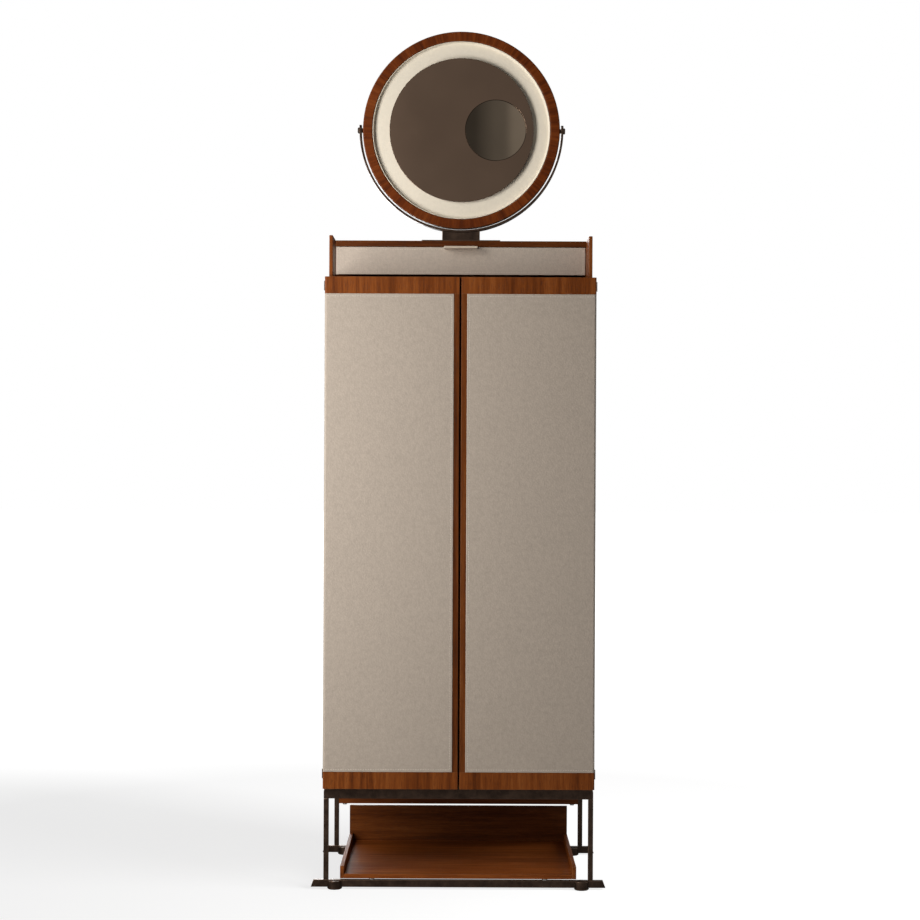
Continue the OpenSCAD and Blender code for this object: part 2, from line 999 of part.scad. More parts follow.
// A half hoop under the ring, with straight ears at the pivots
module mirror_yoke() {
  color(bronze)
    at_mirror()
      difference() {
        union() {
          along_y([mirror_y - yoke_w / 2, mirror_y + yoke_w / 2])
            difference() {
              circle(yoke_outer_r);
              circle(yoke_r);
              translate([-yoke_outer_r - over, 0])
                square([2 * (yoke_outer_r + over), yoke_outer_r + over]);
            }
          both_sides() yoke_ear();
        }
        both_sides()
          translate([0, mirror_y, 0]) rod_along_x(pivot_r, [yoke_r - over, yoke_outer_r + over]);
      }
}

// An ear whose two upper corners are round
module yoke_ear() {
  thickness = [yoke_r, yoke_outer_r];
  corner_y = yoke_w / 2 - ear_r;
  board(thickness, [mirror_y - yoke_w / 2, mirror_y + yoke_w / 2], [0, yoke_rise - ear_r]);
  board(thickness, [mirror_y - corner_y, mirror_y + corner_y], [0, yoke_rise]);
  for (y = [mirror_y - corner_y, mirror_y + corner_y])
    translate([0, y, yoke_rise - ear_r]) rod_along_x(ear_r, thickness);
}

// A pivot screw: its pin runs in the ring and its collar keeps the ring off the yoke
module pivot_knobs() {
  color(bronze)
    at_mirror()
      both_sides()
        translate([0, mirror_y, 0]) {
          rod_along_x(pivot_r, [ring_r - pivot_depth + over, yoke_outer_r + over]);
          rod_along_x(knob_r - knob_edge, [ring_r + seat_gap, yoke_r - seat_gap]);
          translate([yoke_outer_r, 0, 0])
            rotate([0, 90, 0]) {
              cylinder(r = knob_r, h = knob_reach - knob_edge);
              translate([0, 0, knob_reach - knob_edge])
                cylinder(r1 = knob_r, r2 = knob_r - knob_edge, h = knob_edge);
            }
        }
}

module mirror_ring() {
  front = ring_depth / 2;
  rabbet = mirror_back_y - mirror_y;
  color(walnut)
    at_mirror()
      difference() {
        translate([0, mirror_y, 0])
          rotate([90, 0, 0])
            rotate_extrude()
              polygon([
                [ring_inner_r, -rabbet],
                [ring_inner_r + rabbet_w, -rabbet],
                [ring_inner_r + rabbet_w, -front],
                [ring_r - ring_chamfer, -front],
                [ring_r, ring_chamfer - front],
                [ring_r, front - ring_chamfer],
                [ring_r - ring_chamfer, front],
                [ring_inner_r + ring_chamfer, front],
                [ring_inner_r, front - ring_chamfer]
              ]);
        both_sides()
          translate([0, mirror_y, 0])
            rod_along_x(pivot_r + pin_clearance, [ring_r - pivot_depth, ring_r + over]);
      }
}

// The board in the ring's rabbet, with the boss that carries the mirror
module mirror_back() {
  color(walnut)
    at_mirror() {
      rod_along_y(ring_inner_r + rabbet_w - seat_gap, [mirror_back_y, mirror_back_y + mirror_back_t]);
      rod_along_y(boss_r, [glass_y + glass_t, mirror_back_y + over]);
    }
}

// The pale ring, dished so that its outer edge turns up along the wooden ring
module halo_ring() {
  lip_y = ring_front_y + ring_chamfer;
  color(cream)
    at_mirror()
      difference() {
        rod_along_y(halo_r, [lip_y, mirror_back_y]);
        rod_along_y(halo_r - halo_lip_t, [lip_y - over, halo_y]);
        rod_along_y(boss_r + seat_gap, [halo_y - over, mirror_back_y + over]);
      }
}

module mirror_glass() {
  color(smoked)
    at_mirror()
      difference() {
        rod_along_y(glass_r, [glass_y, glass_y + glass_t]);
        translate([magnifier_x, 0, 0])
          rod_along_y(magnifier_r + seat_gap, [glass_y - over, glass_y + magnifier_t]);
      }
}

module magnifier() {
  color(smoked)
    at_mirror() translate([magnifier_x, 0, 0]) rod_along_y(magnifier_r, [glass_y, glass_y + magnifier_t]);
}

front_legs();
rear_legs();
front_top_rail();
rear_top_rail();
frame_side_rails();
front_floor_bar();
rear_floor_bar();
floor_feet();
rear_apron();
frame_bolts();
tray_floor();
tray_sides();
tray_back();
tray_spacers();
side_panel_left();
side_panel_right();
carcass_top();
carcass_bottom();
back_panel();
side_leather_left();
side_leather_right();
fixed_shelf();
adjustable_shelf();
shelf_pins();
hanging_rod();
rod_brackets();
magnetic_catches();
carcass_hinge_leaves();
hinge_pins();
gallery_wings();
top_board();
drawer_deck();
gallery_back();
drawer_runners();
drawer_front();
drawer_leather();
drawer_sides();
drawer_back();
drawer_bottom();
drawer_pull();
door_core_left();
door_rails_left();
door_stile_left();
door_leather_left();
door_hinge_leaves_left();
strike_plate_left();
door_core_right();
door_rails_right();
door_stile_right();
door_leather_right();
door_hinge_leaves_right();
strike_plate_right();
mirror_stand();
mirror_yoke();
pivot_knobs();
mirror_ring();
mirror_back();
halo_ring();
mirror_glass();
magnifier();
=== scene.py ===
"""Looks of a tall leather and walnut armoire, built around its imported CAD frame.

Metres, X to the right, front towards -Y, Z up, origin on the floor under the middle. Every place
comes from the frame's own boxes. Most pieces are eased copies of the CAD nodes, the leather panels
are pressed and sewn as well, and the halo ring and the magnifying mirror are turned anew. Each
piece rides on the body that its node belongs to.
"""

import logging
import math
from dataclasses import dataclass
from enum import Enum

import bmesh
import bpy
from mathutils import Matrix, Vector


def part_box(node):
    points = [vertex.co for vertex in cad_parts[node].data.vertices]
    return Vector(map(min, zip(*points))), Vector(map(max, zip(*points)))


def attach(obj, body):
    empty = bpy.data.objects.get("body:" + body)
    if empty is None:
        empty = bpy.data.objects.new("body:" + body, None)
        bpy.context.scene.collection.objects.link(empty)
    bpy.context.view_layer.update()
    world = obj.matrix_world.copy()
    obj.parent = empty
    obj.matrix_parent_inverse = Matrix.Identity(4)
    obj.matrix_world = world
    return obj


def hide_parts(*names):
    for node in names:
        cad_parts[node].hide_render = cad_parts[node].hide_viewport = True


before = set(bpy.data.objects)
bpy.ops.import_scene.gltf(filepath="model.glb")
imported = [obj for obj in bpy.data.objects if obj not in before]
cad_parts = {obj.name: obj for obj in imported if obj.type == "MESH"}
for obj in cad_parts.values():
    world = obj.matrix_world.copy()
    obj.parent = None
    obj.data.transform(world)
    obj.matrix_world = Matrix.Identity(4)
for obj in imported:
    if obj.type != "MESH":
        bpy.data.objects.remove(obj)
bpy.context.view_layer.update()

LOG = logging.getLogger("armoire")
Colour = tuple[float, float, float]
Point = tuple[float, float]
Socket = bpy.types.NodeSocket
WHITE = (1.0, 1.0, 1.0)
RIGHT, BACK, UP = Vector((1, 0, 0)), Vector((0, 1, 0)), Vector((0, 0, 1))
MERGE_DISTANCE = 1e-6
COPLANAR = math.radians(0.4)
SHARP = math.radians(33)
LARGE_FACES_LEAD = 100


# ---- finishes ----


class Nodes:
    """A node tree, with short ways to add and join nodes."""

    def __init__(self, tree: bpy.types.NodeTree) -> None:
        """Takes the tree that nodes are added to."""
        self.tree = tree

    def node(self, kind: str, inputs: dict | None = None, **settings: object) -> bpy.types.Node:
        """Adds a node.

        Args:
            kind: the node's type, without its common prefix.
            inputs: values or sockets, by input name or number.
            settings: the node's own properties.

        Returns:
            The new node.
        """
        made = self.tree.nodes.new(f"ShaderNode{kind}")
        for key, value in settings.items():
            setattr(made, key, value)
        for key, value in (inputs or {}).items():
            self.feed(made.inputs[key], value)
        return made

    def feed(self, socket: Socket, value: object) -> None:
        """Joins a socket to another one, or sets its value.

        Args:
            socket: the input to feed.
            value: an output to join to it, a colour, or a plain value.
        """
        if isinstance(value, Socket):
            self.tree.links.new(value, socket)
        elif socket.type == "RGBA":
            socket.default_value = (*value, 1.0)
        else:
            socket.default_value = value

    def spread(
        self, value: Socket, low: float, high: float, to_low: float = 0.0, to_high: float = 1.0
    ) -> Socket:
        """Returns a value moved from one range to another and kept inside it."""
        inputs = {0: value, 1: low, 2: high, 3: to_low, 4: to_high}
        return self.node("MapRange", inputs).outputs[0]

    def vector(self, operation: str, *inputs: object) -> Socket:
        """Returns the result of vector maths, as a vector."""
        return self.node("VectorMath", dict(enumerate(inputs)), operation=operation).outputs[0]

    def total(self, *terms: tuple[Socket, float]) -> Socket:
        """Returns the weighted sum of some values.

        Args:
            terms: each value with its weight.

        Returns:
            The sum.
        """
        found = None
        for value, weight in terms:
            part = self.node("Math", {0: value, 1: weight}, operation="MULTIPLY").outputs[0]
            found = part if found is None else self.node("Math", {0: found, 1: part}).outputs[0]
        return found

    def ramp(self, factor: Socket, *stops: tuple[float, Colour]) -> Socket:
        """Returns a colour that runs through some stops.

        Args:
            factor: where the colour is read.
            stops: positions from 0 to 1, each with its colour.

        Returns:
            The colour.
        """
        made = self.node("ValToRGB", {"Fac": factor})
        elements = made.color_ramp.elements
        while len(elements) < len(stops):
            elements.new(0.5)
        for element, (position, colour) in zip(elements, stops):
            element.position = position
            element.color = (*colour, 1.0)
        return made.outputs[0]

    def mixed(self, factor: Socket | float, low: object, high: object) -> Socket:
        """Returns one colour mixed with another."""
        inputs = {0: factor, 6: low, 7: high}
        return self.node("Mix", inputs, data_type="RGBA").outputs[2]


class Graph(Nodes):
    """A new material's node tree."""

    def __init__(self, name: str) -> None:
        """Starts a material that holds one principled shader.

        Args:
            name: the material's name.
        """
        self.material = bpy.data.materials.new(name)
        self.material.use_nodes = True
        super().__init__(self.material.node_tree)
        self.shader = self.tree.nodes["Principled BSDF"]

    def place(self) -> Socket:
        """Returns the point on the object, in metres."""
        return self.node("TexCoord").outputs["Object"]

    def stretched(self, vector: Socket, scale: Colour, shift: float = 0.0) -> Socket:
        """Returns a point scaled on each axis and then shifted along all of them."""
        inputs = {"Vector": vector, "Scale": scale, "Location": (shift,) * 3}
        return self.node("Mapping", inputs).outputs[0]

    def noise(
        self,
        vector: Socket,
        scale: float,
        detail: float = 3.0,
        roughness: float = 0.55,
        distortion: float = 0.0,
    ) -> Socket:
        """Returns noise from 0 to 1 at so many waves a metre.

        Args:
            vector: the point that it is read at.
            scale: waves a metre.
            detail: how many finer layers lie on it.
            roughness: how strong the finer layers are.
            distortion: how far the pattern is bent.

        Returns:
            The noise.
        """
        inputs = {
            "Vector": vector,
            "Scale": scale,
            "Detail": detail,
            "Roughness": roughness,
            "Distortion": distortion,
        }
        return self.node("TexNoise", inputs).outputs[0]

    def cells(self, vector: Socket, scale: float) -> Socket:
        """Returns the distance in a pattern of irregular cells, so many a metre."""
        return self.node("TexVoronoi", {"Vector": vector, "Scale": scale}).outputs["Distance"]

    def worn(self) -> Socket:
        """Returns 1 on the eased edges of a piece and 0 elsewhere."""
        return self.node("Attribute", attribute_name="wear").outputs["Fac"]

    def bump(self, height: Socket, distance: float) -> Socket:
        """Returns a normal bent by a height from 0 to 1, where 1 stands so many metres high."""
        inputs = {"Height": height, "Distance": distance, "Strength": 1.0}
        return self.node("Bump", inputs).outputs[0]

    def finish(self, **inputs: object) -> bpy.types.Material:
        """Feeds the shader and hands over the material.

        Args:
            inputs: values or sockets, by the shader's input names with _ for each space.

        Returns:
            The finished material.
        """
        for key, value in inputs.items():
            self.feed(self.shader.inputs[key.replace("_", " ")], value)
        return self.material


class Grain(Enum):
    """How wood grain runs, and how far its pattern is squeezed along each axis."""

    ALONG_X = (0.055, 1.0, 1.0)
    ALONG_Y = (1.0, 0.055, 1.0)
    ALONG_Z = (1.0, 1.0, 0.055)
    OUTWARDS = (0.055, 0.055, 0.0551)


@dataclass(frozen=True)
class Walnut:
    """Oiled walnut with long streaks, fine fibres and open pores, each so many waves a metre."""

    FIGURE, STREAK, FIBRE, PORE = 26, 125, 620, 1350
    RELIEF = 0.00012

    name: str
    grain: Grain
    shade: float = 1.0
    shift: float = 0.0
    centre: Vector | None = None
    tint: Colour = (1.0, 1.0, 1.0)
    radius: float = 0.214

    def stained(self, red: float, green: float, blue: float) -> Colour:
        """Returns a colour with this wood's shade and tint on it."""
        return tuple(c * self.shade * t for c, t in zip((red, green, blue), self.tint))

    def pattern_place(self, graph: Graph) -> Socket:
        """Works out the point that the grain is read at.

        Args:
            graph: the material in the making.

        Returns:
            The point, squeezed along the grain.
        """
        place = graph.place()
        if self.grain is not Grain.OUTWARDS:
            return graph.stretched(place, self.grain.value, self.shift)
        local = graph.vector("SUBTRACT", place, self.centre)
        flat = graph.vector("MULTIPLY", local, (1, 0, 1))
        unit = graph.vector("NORMALIZE", flat)
        around = graph.vector("MULTIPLY", unit, (self.radius,) * 3)
        along = graph.stretched(local, self.grain.value, self.shift)
        return graph.vector("ADD", around, along)

    def material(self) -> bpy.types.Material:
        """Returns the wood's material."""
        graph = Graph(self.name)
        place = self.pattern_place(graph)
        figure = graph.noise(place, self.FIGURE, 2.0, 0.5, 0.5)
        streak = graph.noise(place, self.STREAK, 3.0, 0.6, 0.25)
        fibre = graph.noise(place, self.FIBRE, 2.0, 0.6)
        pore = graph.spread(graph.noise(place, self.PORE, 1.0), 0.60, 0.72)
        tone = graph.total((figure, 0.35), (streak, 0.45), (fibre, 0.2))
        colour = graph.ramp(
            tone,
            (0.36, self.stained(0.100, 0.023, 0.0035)),
            (0.46, self.stained(0.170, 0.041, 0.0065)),
            (0.54, self.stained(0.235, 0.062, 0.011)),
            (0.66, self.stained(0.310, 0.096, 0.022)),
        )
        colour = graph.mixed(graph.total((pore, 0.55)), colour, self.stained(0.035, 0.011, 0.004))
        rubbed = graph.total((graph.worn(), 0.22))
        colour = graph.mixed(rubbed, colour, self.stained(0.40, 0.19, 0.085))
        roughness = graph.spread(graph.total((streak, 0.6), (fibre, 0.4)), 0.3, 0.7, 0.46, 0.34)
        height = graph.total((fibre, 0.6), (streak, 0.5), (pore, -0.8))
        return graph.finish(
            Base_Color=colour,
            Roughness=roughness,
            Normal=graph.bump(height, self.RELIEF),
            Specular_IOR_Level=0.1,
        )


@dataclass(frozen=True)
class Leather:
    """Full-grain leather, pebbled or nearly smooth, in one colour with a soft mottle.

    The pebbles and grains are cells, and the rest is noise, each so many a metre.
    """

    PEBBLE, GRAIN = 255, 720
    CLOUD, SWELL, SPOT, DRIFT = 9, 95, 110, 300.0
    DRIFT_REACH = 0.0012
    RELIEF = 0.00034

    name: str
    colour: Colour
    pebble: float = 1.0
    roughness: float = 0.52
    sheen: float = 0.08
    mottle: float = 0.06

    def material(self) -> bpy.types.Material:
        """Returns the leather's material."""
        graph = Graph(self.name)
        place = graph.place()
        drift = graph.node("TexNoise", {"Vector": place, "Scale": self.DRIFT}).outputs[1]
        warped = graph.vector("MULTIPLY_ADD", drift, (self.DRIFT_REACH,) * 3, place)
        pebbles = graph.spread(graph.cells(warped, self.PEBBLE), 0.0, 0.75, 1.0, 0.0)
        grains = graph.spread(graph.cells(warped, self.GRAIN), 0.0, 0.75, 1.0, 0.0)
        clouds = graph.noise(place, self.CLOUD, 3.0)
        spots = graph.noise(place, self.SPOT, 2.0, 0.6)
        dark = tuple(c * (1.0 - self.mottle) for c in self.colour)
        pale = tuple(min(1.0, c * (1.0 + self.mottle)) for c in self.colour)
        tone = graph.total((clouds, 0.15), (spots, 0.85))
        colour = graph.ramp(tone, (0.3, dark), (0.5, self.colour), (0.7, pale))
        # Painted shade: the creases between the pebbles are darkened towards half the leather's
        # colour.
        crease_painted_shade = graph.spread(pebbles, 0.0, 0.42, 0.12 * self.pebble, 0.0)
        colour = graph.mixed(crease_painted_shade, colour, tuple(c * 0.5 for c in self.colour))
        colour = graph.mixed(graph.total((graph.worn(), 0.25)), colour, pale)
        swell = graph.noise(place, self.SWELL, 2.0, 0.5)
        height = graph.total((pebbles, 0.55), (grains, 0.2), (swell, 0.6))
        hollow, crest = self.roughness + 0.12, self.roughness - 0.04
        return graph.finish(
            Base_Color=colour,
            Roughness=graph.spread(pebbles, 0.0, 1.0, hollow, crest),
            Normal=graph.bump(height, self.RELIEF * self.pebble),
            Specular_IOR_Level=0.38,
            Sheen_Weight=self.sheen,
            Sheen_Roughness=0.5,
        )


@dataclass(frozen=True)
class Metal:
    """A metal finish with a fine mottle and edges that are rubbed bright."""

    CLOUD, BRUSH = 45, 900
    RELIEF = 0.00003

    name: str
    dark: Colour
    light: Colour
    rubbed: Colour
    metallic: float = 0.85
    roughness: float = 0.38

    def material(self) -> bpy.types.Material:
        """Returns the metal's material."""
        graph = Graph(self.name)
        place = graph.place()
        cloud = graph.noise(place, self.CLOUD, 4.0, 0.6)
        brush = graph.noise(graph.stretched(place, (1.0, 1.0, 0.12)), self.BRUSH, 2.0)
        tone = graph.total((cloud, 0.75), (brush, 0.25))
        colour = graph.ramp(tone, (0.38, self.dark), (0.62, self.light))
        colour = graph.mixed(graph.total((graph.worn(), 0.6)), colour, self.rubbed)
        return graph.finish(
            Base_Color=colour,
            Metallic=self.metallic,
            Roughness=graph.spread(cloud, 0.3, 0.7, self.roughness - 0.07, self.roughness + 0.1),
            Normal=graph.bump(brush, self.RELIEF),
        )


@dataclass(frozen=True)
class Thread:
    """Waxed linen thread with its twist."""

    TWIST, SHADE = 2200, 160
    RELIEF = 0.00008

    name: str
    colour: Colour

    def material(self) -> bpy.types.Material:
        """Returns the thread's material."""
        graph = Graph(self.name)
        place = graph.place()
        twist = graph.noise(place, self.TWIST, 1.0)
        shade = graph.noise(place, self.SHADE, 2.0)
        low = tuple(c * 0.82 for c in self.colour)
        tone = graph.total((twist, 0.5), (shade, 0.5))
        colour = graph.ramp(tone, (0.35, low), (0.65, self.colour))
        return graph.finish(
            Base_Color=colour,
            Roughness=graph.spread(twist, 0.3, 0.7, 0.5, 0.7),
            Normal=graph.bump(twist, self.RELIEF),
            Sheen_Weight=0.15,
        )


@dataclass(frozen=True)
class SmokedMirror:
    """Silvered glass with a bronze smoke, a hair less than perfectly clean."""

    SMOKE, HAZE = 7, 32

    name: str
    colour: Colour

    def material(self) -> bpy.types.Material:
        """Returns the mirror's material."""
        graph = Graph(self.name)
        place = graph.place()
        smoke = graph.noise(place, self.SMOKE, 2.0)
        haze = graph.noise(place, self.HAZE, 4.0, 0.65)
        low = tuple(c * 0.95 for c in self.colour)
        high = tuple(c * 1.05 for c in self.colour)
        return graph.finish(
            Base_Color=graph.ramp(smoke, (0.35, low), (0.65, high)),
            Metallic=1.0,
            Roughness=graph.spread(haze, 0.35, 0.7, 0.035, 0.075),
        )


BRONZE = Metal(
    "burnished_bronze", (0.042, 0.025, 0.017), (0.085, 0.052, 0.035), (0.22, 0.14, 0.095)
)
STEEL = Metal("plain_steel", (0.42, 0.41, 0.40), (0.58, 0.57, 0.55), (0.75, 0.74, 0.72), 1.0, 0.3)
GREIGE = (0.408, 0.340, 0.278)
# Painted light: the doors' greige leather made paler for the drawer face, which lies in shade under
# the mirror and between the wings.
GREIGE_PAINTED_LIGHTER = (0.535, 0.450, 0.372)
CREAM = (0.86, 0.775, 0.635)


class Dressing:
    """The finishes that are in use, each made once."""

    def __init__(self, mirror_centre: Vector) -> None:
        """Makes every material of the armoire.

        Args:
            mirror_centre: the middle of the mirror's ring, where its grain runs outwards from.
        """
        finishes = (
            Walnut("walnut_upright", Grain.ALONG_Z, 0.85),
            Walnut("walnut_door", Grain.ALONG_Z, 0.85, 3.7),
            Walnut("walnut_stile", Grain.ALONG_Z, 0.56, 6.1),
            Walnut("walnut_across", Grain.ALONG_X, 0.8, 1.3),
            Walnut("walnut_top", Grain.ALONG_X, 0.52, 5.1),
            # Painted light: a lighter copy of the walnut for the tray, whose front is lit.
            Walnut("walnut_tray_painted_light", Grain.ALONG_X, 1.15, 7.9),
            # Painted shade: a darker copy of the tray walnut for the tray back, which lies in the
            # cabinet's shadow.
            Walnut("tray_back_walnut_painted_shade", Grain.ALONG_X, 0.58, 4.4),
            Walnut("walnut_depth", Grain.ALONG_Y, 0.9, 2.2),
            Walnut("walnut_lining", Grain.ALONG_Z, 0.9, 9.4),
            Walnut("walnut_ring", Grain.OUTWARDS, 0.62, 0.0, mirror_centre, (1.08, 0.86, 0.7)),
            Leather("greige_leather", GREIGE),
            # Painted light: the drawer face uses a paler copy of the door leather.
            Leather("drawer_leather", GREIGE_PAINTED_LIGHTER),
            Leather("pull_leather", (0.58, 0.49, 0.38), 0.5),
            Leather("cream_leather", CREAM, 0.25, 0.6, 0.05, 0.03),
            BRONZE,
            STEEL,
            Thread("linen_thread", (0.80, 0.72, 0.62)),
            SmokedMirror("smoked_glass", (0.170, 0.112, 0.077)),
            SmokedMirror("magnifier_glass", (0.150, 0.116, 0.083)),
        )
        self.materials = {finish.name: finish.material() for finish in finishes}

    def __getitem__(self, name: str) -> bpy.types.Material:
        """Returns a finish by name."""
        return self.materials[name]


# ---- making pieces ----

LEATHER_EDGE = 0.0011
LEATHER_SHORTEST = 0.02
LEAF_EDGE = 0.00015
HINGE_HALF_HEIGHT = 0.0105
HINGE_SCREW_INSET = 0.0135
HINGE_SCREW_RISE = 0.005
HINGE_SCREW_RADIUS = 0.0019
STRIKE_SCREW_REACH = 0.013


def merged_node(node: str) -> bmesh.types.BMesh:
    """Returns a copy of a CAD node's mesh with its triangles merged into flat faces.

    Args:
        node: the CAD node's name.

    Returns:
        The mesh, where only faces that bend gently into another are smooth.
    """
    bm = bmesh.new()
    bm.from_mesh(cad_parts[node].data)
    bmesh.ops.remove_doubles(bm, verts=bm.verts, dist=MERGE_DISTANCE)
    bmesh.ops.dissolve_limit(bm, angle_limit=COPLANAR, verts=bm.verts, edges=bm.edges)
    for edge in bm.edges:
        edge.smooth = True
    for face in bm.faces:
        face.smooth = any(COPLANAR < edge.calc_face_angle(0.0) < SHARP for edge in face.edges)
    return bm


def ease(bm: bmesh.types.BMesh, radius: float, segments: int = 2, shortest: float = 0.0) -> None:
    """Rounds the sharp edges of a mesh and marks the new faces as worn.

    Args:
        bm: the mesh.
        radius: how much of each edge is taken off.
        segments: steps round the edge.
        shortest: edges under this length stay as they are. With none left out, the radius is
            held back where it would overlap.
    """
    wear = bm.faces.layers.float.new("wear")
    edges = [e for e in bm.edges if e.calc_face_angle(0.0) >= SHARP and e.calc_length() >= shortest]
    made = bmesh.ops.bevel(
        bm,
        geom=edges,
        offset=radius,
        offset_type="OFFSET",
        segments=segments,
        profile=0.5,
        affect="EDGES",
        clamp_overlap=shortest == 0.0,
        material=-1,
    )
    for face in made["faces"]:
        face.smooth = True
        face[wear] = 1.0


def publish(
    bm: bmesh.types.BMesh,
    name: str,
    body: str,
    slot: str,
    material: bpy.types.Material,
    *nodes: str,
) -> bpy.types.Object:
    """Turns a mesh into a piece of the object.

    Flat faces keep an even shade up to their eased edges, except on the mirrors, which are left
    as they are made.

    Args:
        bm: the mesh in its place, which is used up.
        name: the piece's name.
        body: the CAD body that it rides on.
        slot: the record's material slot.
        material: its finish.
        nodes: CAD nodes that it stands for.

    Returns:
        The new object.
    """
    mesh = bpy.data.meshes.new(name)
    bmesh.ops.recalc_face_normals(bm, faces=bm.faces)
    bm.to_mesh(mesh)
    bm.free()
    mesh.materials.clear()
    mesh.materials.append(material)
    made = bpy.data.objects.new(name, mesh)
    bpy.context.scene.collection.objects.link(made)
    if not slot.endswith("mirror"):
        shading = made.modifiers.new("flat_faces_stay_flat", "WEIGHTED_NORMAL")
        shading.weight = LARGE_FACES_LEAD
        shading.keep_sharp = True
    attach(made, body)
    if nodes:
        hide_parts(*nodes)
    LOG.info("%s: %d faces on %s", name, len(mesh.polygons), body)
    return made


def turned(profile: list[Point], centre: Vector, steps: int) -> bmesh.types.BMesh:
    """Turns a closed profile about an axis along Y.

    Args:
        profile: (radius, y) points in order.
        centre: a point on the axis, whose Y is the profile's zero.
        steps: steps of the whole turn.

    Returns:
        The turned mesh, with its poles closed.
    """
    bm = bmesh.new()
    verts = [bm.verts.new(centre + Vector((radius, y, 0))) for radius, y in profile]
    on_axis = profile[0][0] == 0.0 and profile[-1][0] == 0.0
    pairs = list(zip(verts, verts[1:])) + ([] if on_axis else [(verts[-1], verts[0])])
    edges = [bm.edges.new(pair) for pair in pairs]
    bmesh.ops.spin(
        bm,
        geom=verts + edges,
        cent=centre,
        axis=BACK,
        dvec=(0, 0, 0),
        angle=2 * math.pi,
        steps=steps,
        use_merge=True,
    )
    bmesh.ops.remove_doubles(bm, verts=bm.verts, dist=1e-5)
    bmesh.ops.recalc_face_normals(bm, faces=bm.faces)
    for face in bm.faces:
        face.smooth = True
    for edge in bm.edges:
        edge.smooth = edge.calc_face_angle(0.0) < SHARP
    return bm


def arc(centre: Point, radius: float, start: float, end: float, steps: int) -> list[Point]:
    """Returns points on an arc, from one angle to another in degrees."""
    angles = [math.radians(start + (end - start) * i / steps) for i in range(steps + 1)]
    return [(centre[0] + radius * math.cos(a), centre[1] + radius * math.sin(a)) for a in angles]


@dataclass(frozen=True)
class Seam:
    """A straight run of stitches on a leather face, whose outward direction is out."""

    start: Vector
    end: Vector
    out: Vector

    @property
    def along(self) -> Vector:
        """The direction of sewing."""
        return (self.end - self.start).normalized()

    @property
    def across(self) -> Vector:
        """The direction in the leather's face square to the seam."""
        return self.along.cross(self.out)


@dataclass(frozen=True)
class Sewing:
    """How the leather is sewn: the stitches, and the groove that they pull into it.

    Stitches stand proud of the groove's floor by a share of the thread's radius and lean by
    slant degrees. The groove is the distance from its middle to each side.
    """

    inset: float = 0.0055
    pitch: float = 0.0055
    stitch: float = 0.0040
    thread: float = 0.00048
    groove: float = 0.0013
    depth: float = 0.0004
    slant: float = 6.0
    proud: float = 0.55

    def press(self, bm: bmesh.types.BMesh, seams: list[Seam]) -> None:
        """Presses the grooves of some seams into a leather mesh.

        Args:
            bm: the leather.
            seams: where its grooves run.
        """
        for seam in seams:
            for step in (-self.groove, 0.0, self.groove):
                bmesh.ops.bisect_plane(
                    bm,
                    geom=bm.verts[:] + bm.edges[:] + bm.faces[:],
                    plane_co=seam.start + seam.across * step,
                    plane_no=seam.across,
                    dist=MERGE_DISTANCE,
                )
        sunk = {vert: seam for seam in seams for vert in bm.verts if self.is_on(vert.co, seam)}
        for vert, seam in sunk.items():
            vert.co -= seam.out * self.depth
            for face in vert.link_faces:
                face.smooth = True

    def is_on(self, point: Vector, seam: Seam) -> bool:
        """Says whether a point lies on a seam's line.

        Args:
            point: the point.
            seam: the seam.

        Returns:
            True where the point is on the line and between its ends.
        """
        offset = point - seam.start
        along = offset.dot(seam.along)
        reach = (seam.end - seam.start).length
        near = MERGE_DISTANCE * 20
        return (offset - seam.along * along).length < near and -near <= along <= reach + near

    def sew(self, seams: list[Seam]) -> bmesh.types.BMesh:
        """Sews some seams.

        Args:
            seams: the seams.

        Returns:
            One mesh with every stitch.
        """
        bm = bmesh.new()
        mesh = bpy.data.meshes.new("run")
        for seam in seams:
            reach = (seam.end - seam.start).length
            count = max(1, round(reach / self.pitch))
            step = seam.along * (reach / count)
            turn = Matrix.Rotation(math.radians(self.slant), 3, seam.out)
            axes = (
                turn @ seam.across * self.thread,
                seam.out * self.thread,
                turn @ seam.along * (self.stitch / 2),
            )
            place = Matrix(axes).transposed().to_4x4()
            lift = self.thread * self.proud - self.depth
            place.translation = seam.start + step / 2 + seam.out * lift
            run = bmesh.new()
            bmesh.ops.create_uvsphere(run, u_segments=6, v_segments=5, radius=1.0, matrix=place)
            geom = run.verts[:] + run.edges[:] + run.faces[:]
            bmesh.ops.spin(
                run,
                geom=geom,
                cent=seam.start,
                axis=seam.out,
                dvec=step,
                angle=0,
                steps=count - 1,
                use_duplicate=True,
            )
            run.to_mesh(mesh)
            run.free()
            bm.from_mesh(mesh)
        bpy.data.meshes.remove(mesh)
        for face in bm.faces:
            face.smooth = True
        return bm


def frame_of_seams(
    low: Vector, high: Vector, out: Vector, inset: float, skip: Vector | None = None
) -> list[Seam]:
    """Lays seams just inside the edges of a flat leather face.

    Args:
        low: the face's lowest corner.
        high: the face's highest corner.
        out: the face's outward direction, along an axis.
        inset: distance of the seams inside the edges.
        skip: the direction of an edge that has no seam, where the leather wraps round instead.

    Returns:
        The seams.
    """
    sideways = UP.cross(out).normalized()
    wraps = 0.0 if skip is None else skip.dot(sideways)
    left, right = sorted((low.dot(sideways), high.dot(sideways)))
    left += 0.0 if wraps < 0 else inset
    right -= 0.0 if wraps > 0 else inset
    bottom, top = low.z + inset, high.z - inset
    plane = max(low.dot(out), high.dot(out))

    def point(s: float, z: float) -> Vector:
        """Returns the point of the face at a place sideways and up."""
        return sideways * s + UP * z + out * plane

    uprights = [s for s, wrapped in ((left, wraps < 0), (right, wraps > 0)) if not wrapped]
    return [
        *(Seam(point(left, z), point(right, z), out) for z in (bottom, top)),
        *(Seam(point(s, bottom), point(s, top), out) for s in uprights),
    ]


